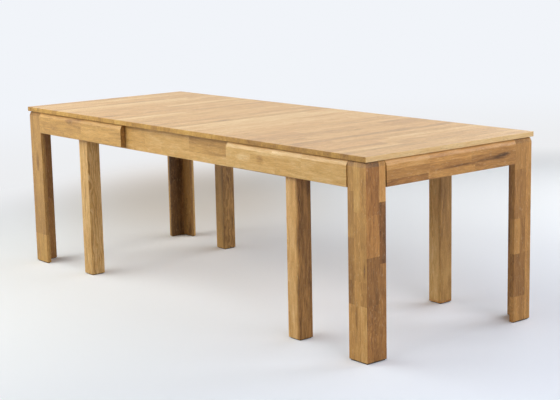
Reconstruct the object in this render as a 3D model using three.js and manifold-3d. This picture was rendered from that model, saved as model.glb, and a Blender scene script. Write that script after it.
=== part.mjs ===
// An extending dining table in solid oak, drawn out to its full length.
// X runs along the table, Y across it and Z up. The origin is on the floor under its middle.
//
// A fixed inner frame stands on four square legs. Each end of the table (half of the top, two corner
// legs of L section, an end apron and two side aprons) slides along it on dovetailed runners, and two
// loose leaves fill the space that opens between the halves of the top. Pushed in, the square legs
// stand inside the corner legs.

import * as THREE from "three";
import { mergeVertices } from "three/addons/utils/BufferGeometryUtils.js";
import Module from "manifold-3d";

// Driving dimensions, in millimetres.

const closedLength = 1600;
const drawLength = 375; // how far each end slides, which is also the room for one leaf
const tableWidth = 900;
const tableHeight = 755;

const topThickness = 20;
const topEase = 1.5; // radius of the outer edges of the top
const seamEase = 0.4; // of the edges that meet in a seam
const topOverhang = 5; // of the top past the corner legs

const cornerLegWidth = 97; // of each flange
const cornerLegThickness = 22;
const innerLegWidth = 67;
const nestingGap = 2; // between a nested inner leg and the flanges of its corner leg
const legEase = 2;
const footBevel = 3;

const glideHeight = 3;
const glideInset = 5;

const apronThickness = 22;
const apronHeight = 98;
const apronProud = 4; // of an outer apron past the faces of the corner legs
const apronEase = 1.5;
const apronMeetingGap = 1; // from the middle to the end of an outer side apron, pushed in
const innerApronHeight = 105;

const topBevelHeight = 20; // bevel along the upper outer edge of the corner legs and outer aprons
const topBevelDepth = 5; // behind the faces of the corner legs
const shadowGapHeight = 3; // rebate between that bevel and the top
const shadowGapDepth = 4;

const tenonThickness = 8;
const tenonLength = 30;
const stubTenonLength = 12;
const tenonShoulder = 16;

const crossRailThickness = 22;
const crossRailHeight = 62;

const runnerWidth = 30;
const runnerHeight = 38;
const runnerTipGap = 30; // from the middle of the table to a runner's tip, drawn out
const guideWidth = 36;
const guideLegGap = 84; // from the middle of a guide to the inner legs
const dovetailDepth = 9;
const dovetailRoot = 14;
const dovetailTip = 20;

const stopPegDiameter = 12;
const stopPegDepth = 22; // in the runner
const stopPegReach = 19; // below the runner

const braceWidth = 40; // along the apron
const braceHeight = 40;
const braceLegGap = 28; // from the inner leg's corner to the brace, along the apron

const cleatSize = 20;
const cleatEndGap = 12; // from a cleat's end to the inner leg that nests beside it

const dowelDiameter = 8;
const dowelLength = 40;
const dowelEdgeGap = 130; // from the side of the table to the outer dowels

const seat = 0.3; // between pieces that touch
const slideGap = 2; // between the inner frame and the top that slides over it
const guideTopGap = 4; // between a guide and the top that slides over it
const runningGap = 0.5; // round the dovetail tongues
const cutPast = 5; // how far a cut runs out of the piece

const easeFacet = 0.5; // longest step in the radius of an eased edge
const rodSegments = 24;

// Levels and lines that the pieces share.

const underTop = tableHeight - topThickness;
const legFoot = glideHeight + seat;
const endFrameTop = underTop - seat;
const apronBottom = endFrameTop - apronHeight;
const innerFrameTop = underTop - slideGap;
const innerApronBottom = innerFrameTop - innerApronHeight;
const crossRailTop = innerApronBottom + crossRailHeight;

const drawnHalfLength = closedLength / 2 + drawLength;
const halfWidth = tableWidth / 2;
const cornerLegFaceX = drawnHalfLength - topOverhang;
const cornerLegFaceY = halfWidth - topOverhang;
const innerLegFaceX = cornerLegFaceX - cornerLegThickness - nestingGap - drawLength;
const innerLegFaceY = cornerLegFaceY - cornerLegThickness - nestingGap;
const innerLegBackX = innerLegFaceX - innerLegWidth;
const innerLegBackY = innerLegFaceY - innerLegWidth;
const endApronFaceX = cornerLegFaceX + apronProud;
const sideApronFaceY = cornerLegFaceY + apronProud;
const endApronBackX = endApronFaceX - apronThickness;
const endRailMiddleX = innerLegFaceX - innerLegWidth / 2;
const endRailFaceX = endRailMiddleX + crossRailThickness / 2;
const endRailBackX = endRailMiddleX - crossRailThickness / 2;
const guideOffset = innerLegBackY - guideLegGap;

// Solids.

const wasm = await Module();
wasm.setup();

function solidOf(geometry) {
  geometry.deleteAttribute("normal");
  geometry.deleteAttribute("uv");
  const merged = mergeVertices(geometry);
  const mesh = new wasm.Mesh({
    numProp: 3,
    vertProperties: new Float32Array(merged.attributes.position.array),
    triVerts: new Uint32Array(merged.index.array),
  });
  return new wasm.Manifold(mesh);
}

function geometryOf(solid) {
  const { vertProperties, triVerts } = solid.getMesh();
  const geometry = new THREE.BufferGeometry();
  geometry.setAttribute("position", new THREE.BufferAttribute(vertProperties, 3));
  geometry.setIndex(new THREE.BufferAttribute(triVerts, 1));
  return geometry;
}

const xAxis = new THREE.Vector3(1, 0, 0);
const yAxis = new THREE.Vector3(0, 1, 0);
const zAxis = new THREE.Vector3(0, 0, 1);

// An outline's two coordinates are [y, z] along X, [z, x] along Y and [x, y] along Z.
const along = {
  x: new THREE.Matrix4().makeBasis(yAxis, zAxis, xAxis),
  y: new THREE.Matrix4().makeBasis(zAxis, xAxis, yAxis),
  z: new THREE.Matrix4(),
};

const sorted = (range) => [Math.min(...range), Math.max(...range)];

function prism(outline, range, direction) {
  const [low, high] = sorted(range);
  const shape = new THREE.Shape(outline.map((point) => new THREE.Vector2(...point)));
  const geometry = new THREE.ExtrudeGeometry(shape, { depth: high - low, bevelEnabled: false });
  geometry.translate(0, 0, low);
  geometry.applyMatrix4(along[direction]);
  return solidOf(geometry);
}

function block(xRange, yRange, zRange) {
  const [x, y, z] = [xRange, yRange, zRange].map(sorted);
  const geometry = new THREE.BoxGeometry(x[1] - x[0], y[1] - y[0], z[1] - z[0]);
  geometry.translate((x[0] + x[1]) / 2, (y[0] + y[1]) / 2, (z[0] + z[1]) / 2);
  return solidOf(geometry);
}

function rod(diameter, range, [a, b], direction) {
  const [low, high] = sorted(range);
  const geometry = new THREE.CylinderGeometry(diameter / 2, diameter / 2, high - low, rodSegments);
  geometry.rotateX(Math.PI / 2);
  geometry.translate(a, b, (low + high) / 2);
  geometry.applyMatrix4(along[direction]);
  return solidOf(geometry);
}

const rectangle = ([a0, a1], [b0, b1]) => [[a0, b0], [a1, b0], [a1, b1], [a0, b1]];

// Rounds the square corners of an outline. One radius serves them all, or each has its own.
function eased(outline, ...radii) {
  return outline.flatMap((corner, index) => {
    const radius = radii[index % radii.length];
    const steps = Math.ceil(radius / easeFacet);
    const [before, after] = [outline.at(index - 1), outline[(index + 1) % outline.length]].map((end) => {
      const [da, db] = [end[0] - corner[0], end[1] - corner[1]];
      const share = radius / Math.hypot(da, db);
      return [da * share, db * share];
    });
    return Array.from({ length: steps + 1 }, (_, step) => {
      const angle = (Math.PI / 2) * (step / steps);
      const [back, on] = [1 - Math.sin(angle), 1 - Math.cos(angle)];
      return corner.map((value, axis) => value + before[axis] * back + after[axis] * on);
    });
  });
}

// A block with rounded edges, where those of its two X ends can have a radius of their own.
function easedBlock(xRange, yRange, zRange, ease, easeAtLowX = ease, easeAtHighX = ease) {
  const [x, y, z] = [xRange, yRange, zRange].map(sorted);
  const [low, high] = [easeAtLowX, easeAtHighX];
  const overX = prism(eased(rectangle(y, z), ease), x, "x");
  const overY = prism(eased(rectangle(z, x), low, low, high, high), y, "y");
  const overZ = prism(eased(rectangle(x, y), low, high, high, low), z, "z");
  return overX.intersect(overY).intersect(overZ);
}

const joined = (solids) => solids.reduce((sum, solid) => sum.add(solid));
const cut = (solid, cutters) => cutters.reduce((rest, cutter) => rest.subtract(cutter), solid);
const grown = ([low, high], gap) => [Math.min(low, high) - gap, Math.max(low, high) + gap];
const centred = (middle, width) => [middle - width / 2, middle + width / 2];

// Outline of a board or leg that carries the top, seen along the board: `inward` runs from its outer
// face towards the middle of the table. Its upper outer edge has the bevel and the shadow gap.
function carryingOutline(width, bottom, bevelDepth, bottomEase) {
  const bevelFoot = endFrameTop - topBevelHeight;
  const gapFoot = endFrameTop - shadowGapHeight;
  return [
    { inward: bottomEase, z: bottom },
    { inward: width, z: bottom },
    { inward: width, z: endFrameTop },
    { inward: bevelDepth + shadowGapDepth, z: endFrameTop },
    { inward: bevelDepth + shadowGapDepth, z: gapFoot },
    { inward: bevelDepth, z: gapFoot },
    { inward: 0, z: bevelFoot },
    { inward: 0, z: bottom + bottomEase },
  ];
}

// Tenons and the mortises that they fill.

const outerTenonZ = [apronBottom + tenonShoulder, endFrameTop - tenonShoulder];
const innerTenonZ = [innerApronBottom + tenonShoulder, innerFrameTop - tenonShoulder];
const railTenonZ = [innerApronBottom + tenonShoulder, crossRailTop - tenonShoulder];

const sideTenonY = centred((sideApronFaceY - apronThickness + cornerLegFaceY) / 2, tenonThickness);
const endTenonX = centred((endApronBackX + cornerLegFaceX) / 2, tenonThickness);
const innerTenonY = centred(innerLegFaceY - apronThickness / 2, tenonThickness);
const endRailTenonX = centred(endRailMiddleX, tenonThickness);
const middleRailTenonX = centred(0, tenonThickness);

const cornerLegEdgeX = cornerLegFaceX - cornerLegWidth;
const cornerLegEdgeY = cornerLegFaceY - cornerLegWidth;
const innerApronBackY = innerLegFaceY - apronThickness;

const times = (side, range) => range.map((value) => side * value);

function mortise(xRange, yRange, zRange) {
  return block(grown(xRange, seat), grown(yRange, seat), grown(zRange, seat));
}

// The top: two halves fixed to the ends, and two leaves between them.

const dowelZ = underTop + topThickness / 2;
const dowelReach = halfWidth - dowelEdgeGap;
const dowelOffsets = [-dowelReach, 0, dowelReach];
const seamX = [-drawLength, 0, drawLength];

function topBoard(xRange, easeAtLow, easeAtHigh) {
  const [yRange, zRange] = [[-halfWidth, halfWidth], [underTop, tableHeight]];
  const board = easedBlock(xRange, yRange, zRange, topEase, easeAtLow, easeAtHigh);
  const holes = seamX.flatMap((x) =>
    dowelOffsets.map((y) =>
      rod(dowelDiameter + 2 * seat, grown(centred(x, dowelLength), seat), [y, dowelZ], "x"),
    ),
  );
  return cut(board, holes);
}

const leftTop = () => topBoard([-drawnHalfLength, -drawLength - seat / 2], topEase, seamEase);
const rightTop = () => topBoard([drawLength + seat / 2, drawnHalfLength], seamEase, topEase);
const leftLeaf = () => topBoard([-drawLength + seat / 2, -seat / 2], seamEase, seamEase);
const rightLeaf = () => topBoard([seat / 2, drawLength - seat / 2], seamEase, seamEase);

const seamDowel = (x, y) => rod(dowelDiameter, centred(x, dowelLength), [y, dowelZ], "x");

// The end frames. `end` is -1 on the left and 1 on the right, `side` is -1 in front and 1 behind.

function cornerLeg(end, side) {
  const [faceX, faceY] = [end * cornerLegFaceX, side * cornerLegFaceY];
  const [edgeX, edgeY] = [end * cornerLegEdgeX, side * cornerLegEdgeY];
  const innerX = end * (cornerLegFaceX - cornerLegThickness);
  const innerY = side * (cornerLegFaceY - cornerLegThickness);
  const section = [
    [faceX, faceY],
    [edgeX, faceY],
    [edgeX, innerY],
    [innerX, innerY],
    [innerX, edgeY],
    [faceX, edgeY],
  ];
  const outline = carryingOutline(cornerLegWidth, legFoot, topBevelDepth, footBevel);
  const overX = outline.map(({ inward, z }) => [side * (cornerLegFaceY - inward), z]);
  const overY = outline.map(({ inward, z }) => [z, end * (cornerLegFaceX - inward)]);
  const leg = prism(eased(section, legEase), [legFoot, endFrameTop], "z")
    .intersect(prism(overX, [faceX, edgeX], "x"))
    .intersect(prism(overY, [faceY, edgeY], "y"));
  const tenonEndX = end * (cornerLegEdgeX + tenonLength);
  const tenonEndY = side * (cornerLegEdgeY + tenonLength);
  return cut(leg, [
    mortise([edgeX, tenonEndX], times(side, sideTenonY), outerTenonZ),
    mortise(times(end, endTenonX), [edgeY, tenonEndY], outerTenonZ),
  ]);
}

const apronBevelDepth = apronProud + topBevelDepth;
const outerApronOutline = carryingOutline(apronThickness, apronBottom, apronBevelDepth, apronEase);

function endApron(end) {
  const reach = cornerLegEdgeY - seat;
  const outline = outerApronOutline.map(({ inward, z }) => [z, end * (endApronFaceX - inward)]);
  const tenonReach = reach + tenonLength;
  const tenons = block(times(end, endTenonX), [-tenonReach, tenonReach], outerTenonZ);
  return joined([prism(outline, [-reach, reach], "y"), tenons]);
}

function sideApron(end, side) {
  const outline = outerApronOutline.map(({ inward, z }) => [side * (sideApronFaceY - inward), z]);
  const shoulder = end * (cornerLegEdgeX - seat);
  const free = end * (drawLength + apronMeetingGap);
  const tenon = block([shoulder, shoulder + end * tenonLength], times(side, sideTenonY), outerTenonZ);
  return joined([prism(outline, [free, shoulder], "x"), tenon]);
}

function cleat(end) {
  const back = endApronBackX - seat;
  const reach = innerLegBackY - cleatEndGap;
  const xRange = times(end, [back - cleatSize, back]);
  const zRange = [endFrameTop - cleatSize, endFrameTop];
  return easedBlock(xRange, [-reach, reach], zRange, apronEase);
}

// The inner frame.

function innerLeg(end, side) {
  const xRange = times(end, [innerLegBackX, innerLegFaceX]);
  const yRange = times(side, [innerLegBackY, innerLegFaceY]);
  const shaft = easedBlock(xRange, yRange, [legFoot, innerFrameTop], legEase);
  const apronTenonX = times(end, [innerLegBackX, innerLegBackX + tenonLength]);
  const railTenonY = times(side, [innerLegBackY, innerLegBackY + tenonLength]);
  return cut(shaft, [
    mortise(apronTenonX, times(side, innerTenonY), innerTenonZ),
    mortise(times(end, endRailTenonX), railTenonY, railTenonZ),
  ]);
}

function innerApron(side) {
  const reach = innerLegBackX - seat;
  const yRange = times(side, [innerApronBackY, innerLegFaceY]);
  const outline = eased(rectangle(yRange, [innerApronBottom, innerFrameTop]), apronEase);
  const board = prism(outline, [-reach, reach], "x");
  const tenonReach = reach + tenonLength;
  const tenons = block([-tenonReach, tenonReach], times(side, innerTenonY), innerTenonZ);
  const stub = times(side, [innerApronBackY, innerApronBackY + stubTenonLength]);
  return cut(joined([board, tenons]), [mortise(middleRailTenonX, stub, railTenonZ)]);
}

function crossRail(middleX, shoulderY, tenonX, tenonDepth) {
  const reach = shoulderY - seat;
  const xRange = centred(middleX, crossRailThickness);
  const outline = eased(rectangle([innerApronBottom, crossRailTop], xRange), apronEase);
  const tenonReach = reach + tenonDepth;
  const tenons = block(tenonX, [-tenonReach, tenonReach], railTenonZ);
  return joined([prism(outline, [-reach, reach], "y"), tenons]);
}

function endRail(end) {
  return crossRail(end * endRailMiddleX, innerLegBackY, times(end, endRailTenonX), tenonLength);
}

const middleRail = () => crossRail(0, innerApronBackY, middleRailTenonX, stubTenonLength);

// A brace lies at 45 degrees across each corner, behind the leg.
function cornerBrace(end, side) {
  const [apronY, railX] = [innerApronBackY - seat, endRailBackX - seat];
  const nearLine = innerLegBackX + innerLegBackY - braceLegGap;
  const farLine = nearLine - braceWidth;
  const outline = [
    [nearLine - apronY, apronY],
    [railX, nearLine - railX],
    [railX, farLine - railX],
    [farLine - apronY, apronY],
  ];
  const plan = outline.map(([x, y]) => [end * x, side * y]);
  return prism(plan, [innerApronBottom, innerApronBottom + braceHeight], "z");
}

// Runners and guides. A guide has a dovetail groove on each face: the runners of the right end slide
// in the grooves that face the middle of the table, and those of the left end in the others.

const guideBottom = crossRailTop + seat;
const guideTop = underTop - guideTopGap;
const runnerBottom = endFrameTop - runnerHeight;
const dovetailZ = endFrameTop - runnerHeight / 2;

// `facing` is the side of the guide, 1 outwards and -1 inwards, and `gap` is the room round the tongue.
function dovetailOutline(facing, side, gap) {
  const face = guideOffset + facing * (guideWidth / 2 + runningGap);
  const tip = face - facing * (dovetailDepth + gap);
  const mouth = face + facing * cutPast;
  const [root, end] = [dovetailRoot / 2 + gap, dovetailTip / 2 + gap];
  const half = [[mouth, root], [face, root], [tip, end]];
  const lower = half.map(([y, z]) => [y, dovetailZ - z]);
  const upper = half.toReversed().map(([y, z]) => [y, dovetailZ + z]);
  return [...lower, ...upper].map(([y, z]) => [side * y, z]);
}

function runnerGuide(side) {
  const yRange = times(side, centred(guideOffset, guideWidth));
  const outline = eased(rectangle(yRange, [guideBottom, guideTop]), apronEase);
  const bar = prism(outline, [-endRailFaceX, endRailFaceX], "x");
  const cutReach = endRailFaceX + cutPast;
  const grooves = [-1, 1].map((facing) =>
    prism(dovetailOutline(facing, side, runningGap), [-cutReach, cutReach], "x"),
  );
  return cut(bar, grooves);
}

const runnerMiddleY = (end) => guideOffset - end * (guideWidth / 2 + runningGap + runnerWidth / 2);
const stopPegX = endRailBackX - seat - stopPegDiameter / 2;

function runner(end, side) {
  const xRange = times(end, [runnerTipGap, endApronBackX - cleatSize - 2 * seat]);
  const yRange = times(side, centred(runnerMiddleY(end), runnerWidth));
  const bar = easedBlock(xRange, yRange, [runnerBottom, endFrameTop], apronEase);
  const tongue = prism(dovetailOutline(-end, side, 0), xRange, "x");
  const pegHole = rod(
    stopPegDiameter + 2 * seat,
    [runnerBottom - cutPast, runnerBottom + stopPegDepth + seat],
    [end * stopPegX, side * runnerMiddleY(end)],
    "z",
  );
  return cut(joined([bar, tongue]), [pegHole]);
}

function stopPeg(end, side) {
  const zRange = [runnerBottom - stopPegReach, runnerBottom + stopPegDepth];
  return rod(stopPegDiameter, zRange, [end * stopPegX, side * runnerMiddleY(end)], "z");
}

// Glides under the legs.

function cornerGlide(end, side) {
  const [x0, x1] = [cornerLegEdgeX + glideInset, cornerLegFaceX - glideInset];
  const [y0, y1] = [cornerLegEdgeY + glideInset, cornerLegFaceY - glideInset];
  const width = cornerLegThickness - 2 * glideInset;
  const plan = [[x1, y1], [x0, y1], [x0, y1 - width], [x1 - width, y1 - width], [x1 - width, y0], [x1, y0]];
  return prism(plan.map(([x, y]) => [end * x, side * y]), [0, glideHeight], "z");
}

function innerGlide(end, side) {
  const xRange = times(end, [innerLegBackX + glideInset, innerLegFaceX - glideInset]);
  const yRange = times(side, [innerLegBackY + glideInset, innerLegFaceY - glideInset]);
  return block(xRange, yRange, [0, glideHeight]);
}

// Finishes: colour, roughness and metalness.

const finishes = {
  oakTop: { color: "#e3c79b", roughness: 0.5, metalness: 0 },
  oakFrame: { color: "#c9a06a", roughness: 0.52, metalness: 0 },
  oakInner: { color: "#bf935c", roughness: 0.55, metalness: 0 },
  beech: { color: "#c58f62", roughness: 0.6, metalness: 0 },
  felt: { color: "#26221f", roughness: 0.9, metalness: 0 },
};

const table = new THREE.Group();

function piece(name, solid, finish) {
  const mesh = new THREE.Mesh(geometryOf(solid), new THREE.MeshStandardMaterial(finishes[finish]));
  mesh.name = name;
  table.add(mesh);
}

const ends = { left: -1, right: 1 };
const sides = { front: -1, back: 1 };

piece("left_top", leftTop(), "oakTop");
piece("right_top", rightTop(), "oakTop");
piece("left_leaf", leftLeaf(), "oakTop");
piece("right_leaf", rightLeaf(), "oakTop");
piece("middle_cross_rail", middleRail(), "oakInner");

for (const [endName, end] of Object.entries(ends)) {
  piece(`${endName}_end_apron`, endApron(end), "oakFrame");
  piece(`${endName}_cleat`, cleat(end), "beech");
  piece(`${endName}_cross_rail`, endRail(end), "oakInner");
}

for (const [sideName, side] of Object.entries(sides)) {
  piece(`${sideName}_inner_apron`, innerApron(side), "oakInner");
  piece(`${sideName}_runner_guide`, runnerGuide(side), "beech");
}

for (const [endName, end] of Object.entries(ends)) {
  for (const [sideName, side] of Object.entries(sides)) {
    const corner = `${sideName}_${endName}`;
    piece(`${corner}_corner_leg`, cornerLeg(end, side), "oakFrame");
    piece(`${corner}_inner_leg`, innerLeg(end, side), "oakInner");
    piece(`${corner}_side_apron`, sideApron(end, side), "oakFrame");
    piece(`${corner}_corner_brace`, cornerBrace(end, side), "beech");
    piece(`${corner}_runner`, runner(end, side), "beech");
    piece(`${corner}_stop_peg`, stopPeg(end, side), "beech");
    piece(`${corner}_corner_glide`, cornerGlide(end, side), "felt");
    piece(`${corner}_inner_glide`, innerGlide(end, side), "felt");
  }
}

const seamNames = ["left", "middle", "right"];
const dowelNames = ["front", "middle", "back"];

seamNames.forEach((seamName, seam) => {
  dowelNames.forEach((dowelName, dowel) => {
    piece(`${seamName}_seam_${dowelName}_dowel`, seamDowel(seamX[seam], dowelOffsets[dowel]), "beech");
  });
});

export default table;
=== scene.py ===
import math
import random

import bpy
from mathutils import Matrix, Vector


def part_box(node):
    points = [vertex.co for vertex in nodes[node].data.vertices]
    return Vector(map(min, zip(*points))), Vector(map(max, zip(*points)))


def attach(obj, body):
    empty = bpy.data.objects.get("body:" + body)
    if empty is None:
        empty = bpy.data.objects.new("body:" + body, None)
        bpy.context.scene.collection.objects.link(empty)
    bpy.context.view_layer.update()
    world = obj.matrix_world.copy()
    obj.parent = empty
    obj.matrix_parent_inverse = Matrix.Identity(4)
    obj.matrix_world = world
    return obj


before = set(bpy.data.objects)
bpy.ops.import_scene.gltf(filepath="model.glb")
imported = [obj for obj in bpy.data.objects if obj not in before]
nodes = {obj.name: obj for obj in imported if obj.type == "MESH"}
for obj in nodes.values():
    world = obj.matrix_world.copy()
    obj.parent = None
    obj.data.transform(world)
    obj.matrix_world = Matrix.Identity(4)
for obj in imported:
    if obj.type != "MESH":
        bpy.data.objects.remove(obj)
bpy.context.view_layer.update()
print("table loaded:", len(nodes), "pieces")

ends = {"left": -1, "right": 1}
sides = {"front": -1, "back": 1}


# Camera, at the height of someone standing a few steps away. Its values come from a fit of camera and table.

cameraSetup = {
    "place": (4.5464, -3.6364, 1.4711),
    "turn": 50.33,   # degrees round the table, from its long front
    "tilt": 10.53,   # degrees down
    "roll": -1.2,
    "lens": 86.64,
    "reach": 200,   # metres, past the edge of the floor
}


def addCamera(setup):
    data = bpy.data.cameras.new("camera")
    data.lens = setup["lens"]
    data.clip_end = setup["reach"]
    camera = bpy.data.objects.new("camera", data)
    turn = Matrix.Rotation(math.radians(setup["turn"]), 4, "Z")
    tilt = Matrix.Rotation(math.radians(90 - setup["tilt"]), 4, "X")
    roll = Matrix.Rotation(math.radians(setup["roll"]), 4, "Z")
    camera.matrix_world = Matrix.Translation(setup["place"]) @ turn @ tilt @ roll
    bpy.context.scene.collection.objects.link(camera)
    bpy.context.scene.camera = camera


addCamera(cameraSetup)
print("camera placed")


# Helpers for building node trees

def paint(code):
    # Colours are written as on screen, in hex, and nodes take linear values
    channels = [int(code[i:i + 2], 16) / 255 for i in (0, 2, 4)]
    return (*[c / 12.92 if c <= 0.04045 else ((c + 0.055) / 1.055) ** 2.4 for c in channels], 1)


def feed(tree, socket, value):
    if isinstance(value, bpy.types.NodeSocket):
        tree.links.new(value, socket)
    else:
        socket.default_value = value


def add(tree, kind, inputs=None, **settings):
    node = tree.nodes.new(kind)
    for name, value in settings.items():
        setattr(node, name, value)
    for name, value in (inputs or {}).items():
        feed(tree, node.inputs[name], value)
    return node


def calc(tree, operation, *values, clamp=False):
    node = add(tree, "ShaderNodeMath", operation=operation, use_clamp=clamp)
    for socket, value in zip(node.inputs, values):
        feed(tree, socket, value)
    return node.outputs[0]


def vectorCalc(tree, operation, *values):
    node = add(tree, "ShaderNodeVectorMath", operation=operation)
    for socket, value in zip(node.inputs, values):
        feed(tree, socket, value)
    return node.outputs["Value" if operation in ("LENGTH", "DOT_PRODUCT") else "Vector"]


def combine(tree, x, y, z):
    return add(tree, "ShaderNodeCombineXYZ", {"X": x, "Y": y, "Z": z}).outputs[0]


def separate(tree, vector):
    return add(tree, "ShaderNodeSeparateXYZ", {"Vector": vector}).outputs


def blend(tree, factor, first, second, mode="MIX"):
    node = add(tree, "ShaderNodeMix", data_type="RGBA", blend_type=mode)
    for index, value in ((0, factor), (6, first), (7, second)):   # the sockets of a mix of colours
        feed(tree, node.inputs[index], value)
    return node.outputs[2]


def tinted(tree, colour, tint):
    return blend(tree, 1.0, colour, tint, "MULTIPLY")


def remap(tree, value, fromLow, fromHigh, toLow=0.0, toHigh=1.0):
    inputs = {"Value": value, "From Min": fromLow, "From Max": fromHigh, "To Min": toLow, "To Max": toHigh}
    return add(tree, "ShaderNodeMapRange", inputs, interpolation_type="SMOOTHSTEP").outputs[0]


def noise(tree, vector, scales, detail, roughness, output="Fac"):
    scaled = vectorCalc(tree, "MULTIPLY", vector, scales)
    inputs = {"Vector": scaled, "Scale": 1.0, "Detail": detail, "Roughness": roughness}
    return add(tree, "ShaderNodeTexNoise", inputs, noise_dimensions="3D").outputs[output]


def chanceAt(tree, dimensions, **inputs):
    return add(tree, "ShaderNodeTexWhiteNoise", inputs, noise_dimensions=dimensions).outputs


def nudge(tree, value, amount, start):
    # Patterns swing about a half, so this moves the start up as much as down
    return calc(tree, "MULTIPLY_ADD", calc(tree, "SUBTRACT", value, 0.5), amount, start)


socketKinds = {"vector": "NodeSocketVector", "colour": "NodeSocketColor", "value": "NodeSocketFloat"}


def newGroup(name, inputs, outputs):
    tree = bpy.data.node_groups.new(name, "ShaderNodeTree")
    for direction, sockets in (("INPUT", inputs), ("OUTPUT", outputs)):
        for kind, labels in sockets.items():
            for label in labels.split():
                tree.interface.new_socket(label, in_out=direction, socket_type=socketKinds[kind])
    return tree, tree.nodes.new("NodeGroupInput").outputs, tree.nodes.new("NodeGroupOutput").inputs


def useGroup(tree, group, **inputs):
    return add(tree, "ShaderNodeGroup", inputs, node_tree=group).outputs


# Staves: a board is glued up from strips, and each strip from lengths with a tone of their own.
# Place is in metres: x along the grain, y across the strips, z through them.

staveCuts = {
    "stagger": 7.0,   # lengths by which strips are shifted against each other, at most
    "jointFrom": 0.2,   # each joint falls at least this share of a length past an even place
    "jointSpread": 0.6,   # and at most this share further on
}


def buildStaves(cuts):
    tree, given, out = newGroup("Staves", {"vector": "Place", "value": "Width Depth Length Seed"},
                                {"value": "Tone Hue Pick"})
    x, y, z = separate(tree, given["Place"])
    row = calc(tree, "FLOOR", calc(tree, "DIVIDE", y, given["Width"]))
    layer = calc(tree, "FLOOR", calc(tree, "DIVIDE", z, given["Depth"]))
    strip = combine(tree, row, layer, given["Seed"])
    start = chanceAt(tree, "3D", Vector=strip)["Value"]
    run = calc(tree, "MULTIPLY_ADD", start, cuts["stagger"], calc(tree, "DIVIDE", x, given["Length"]))
    cell = calc(tree, "FLOOR", run)
    shift = chanceAt(tree, "4D", Vector=strip, W=cell)["Value"]
    joint = calc(tree, "MULTIPLY_ADD", shift, cuts["jointSpread"], cuts["jointFrom"])
    block = calc(tree, "ADD", cell, calc(tree, "GREATER_THAN", calc(tree, "SUBTRACT", run, cell), joint))
    # Half a step on, so that the tone doesn't follow from the place of the joint
    picked = chanceAt(tree, "4D", Vector=strip, W=calc(tree, "ADD", block, 0.5))
    shades = separate(tree, picked["Color"])
    feed(tree, out["Tone"], picked["Value"])
    feed(tree, out["Hue"], shades[0])
    feed(tree, out["Pick"], shades[1])
    return tree


# Oak figure in one strip: year rings round a wandering heart, streaks, fibre, pores, rays and small knots.
# Each pattern has its repeats per metre along, across and through the grain, its detail and its roughness.

oakGrain = {
    "drift": ((2.4, 9.0, 9.0), 2.0, 0.5),   # slow bends of the rings
    "wander": 0.02,   # metres that these shift them by
    "ripple": ((13.0, 36.0, 36.0), 1.0, 0.5),   # quick bends, as strong as the board's swirl
    "taper": 0.015,   # rings move this much nearer the heart for each metre along the grain
    "summer": (0.1, 0.8),   # share of a ring over which it darkens
    "winter": (0.86, 1.0),   # and over which it turns pale again
    "figure": {
        "Cloud": ((4.5, 42.0, 42.0), 3.0, 0.6),
        "Mottle": ((17.0, 50.0, 50.0), 2.0, 0.5),
        "Bands": ((9.0, 75.0, 75.0), 2.0, 0.55),
        "Streaks": ((10.0, 210.0, 210.0), 3.0, 0.62),
    },
    "fibre": ((22.0, 780.0, 780.0), 2.0, 0.6),
    "pores": ((75.0, 1500.0, 1500.0), 1.0, 0.5),
    "poreEdge": (0.54, 0.66),
    "porous": (0.75, 0.25),   # strength that pores gain in the pale part of a ring, and have all over it
    "rays": ((60.0, 130.0, 420.0), 1.0, 0.5),
    "rayEdge": (0.6, 0.72),
    "knots": (2.6, 9.0, 9.0),
    "knotEdge": (0.04, 0.2),
    "knotless": 0.62,   # share of the places for a knot that have none
}


def sway(tree, vector, pattern, reach):
    shift = noise(tree, vector, *pattern, "Color")
    shift = vectorCalc(tree, "SUBTRACT", shift, (0.5, 0.5, 0.5))
    return vectorCalc(tree, "MULTIPLY", shift, combine(tree, 0.0, reach, reach))


def buildGrain(grain):
    tree, given, out = newGroup("OakGrain", {"vector": "Local", "value": "Ring Swirl"},
                                {"value": "Rings Cloud Mottle Bands Streaks Fibre Pores Rays Knots"})
    local = given["Local"]
    bent = vectorCalc(tree, "ADD", local, sway(tree, local, grain["drift"], grain["wander"]))
    bent = vectorCalc(tree, "ADD", bent, sway(tree, local, grain["ripple"], given["Swirl"]))
    x, y, z = separate(tree, bent)
    fromHeart = vectorCalc(tree, "LENGTH", combine(tree, 0.0, y, z))
    reach = calc(tree, "MULTIPLY_ADD", x, grain["taper"], fromHeart)
    share = calc(tree, "FRACT", calc(tree, "DIVIDE", reach, given["Ring"]))
    summer = remap(tree, share, *grain["summer"])
    feed(tree, out["Rings"], calc(tree, "MULTIPLY", summer, remap(tree, share, *grain["winter"], 1.0, 0.0)))
    for name, pattern in grain["figure"].items():
        feed(tree, out[name], noise(tree, bent, *pattern))
    feed(tree, out["Fibre"], noise(tree, local, *grain["fibre"]))
    pores = remap(tree, noise(tree, local, *grain["pores"]), *grain["poreEdge"])
    porous = calc(tree, "MULTIPLY_ADD", calc(tree, "SUBTRACT", 1.0, summer), *grain["porous"])
    feed(tree, out["Pores"], calc(tree, "MULTIPLY", pores, porous))
    feed(tree, out["Rays"], remap(tree, noise(tree, bent, *grain["rays"]), *grain["rayEdge"]))
    scaled = vectorCalc(tree, "MULTIPLY", bent, grain["knots"])
    spots = add(tree, "ShaderNodeTexVoronoi", {"Vector": scaled, "Scale": 1.0},
                voronoi_dimensions="3D", feature="F1").outputs
    rare = calc(tree, "GREATER_THAN", separate(tree, spots["Color"])[0], grain["knotless"])
    knots = remap(tree, spots["Distance"], *grain["knotEdge"], 1.0, 0.0)
    feed(tree, out["Knots"], calc(tree, "MULTIPLY", knots, rare))
    return tree


# Oiled oak from a strip's tone and its figure: colour, roughness and relief

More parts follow.
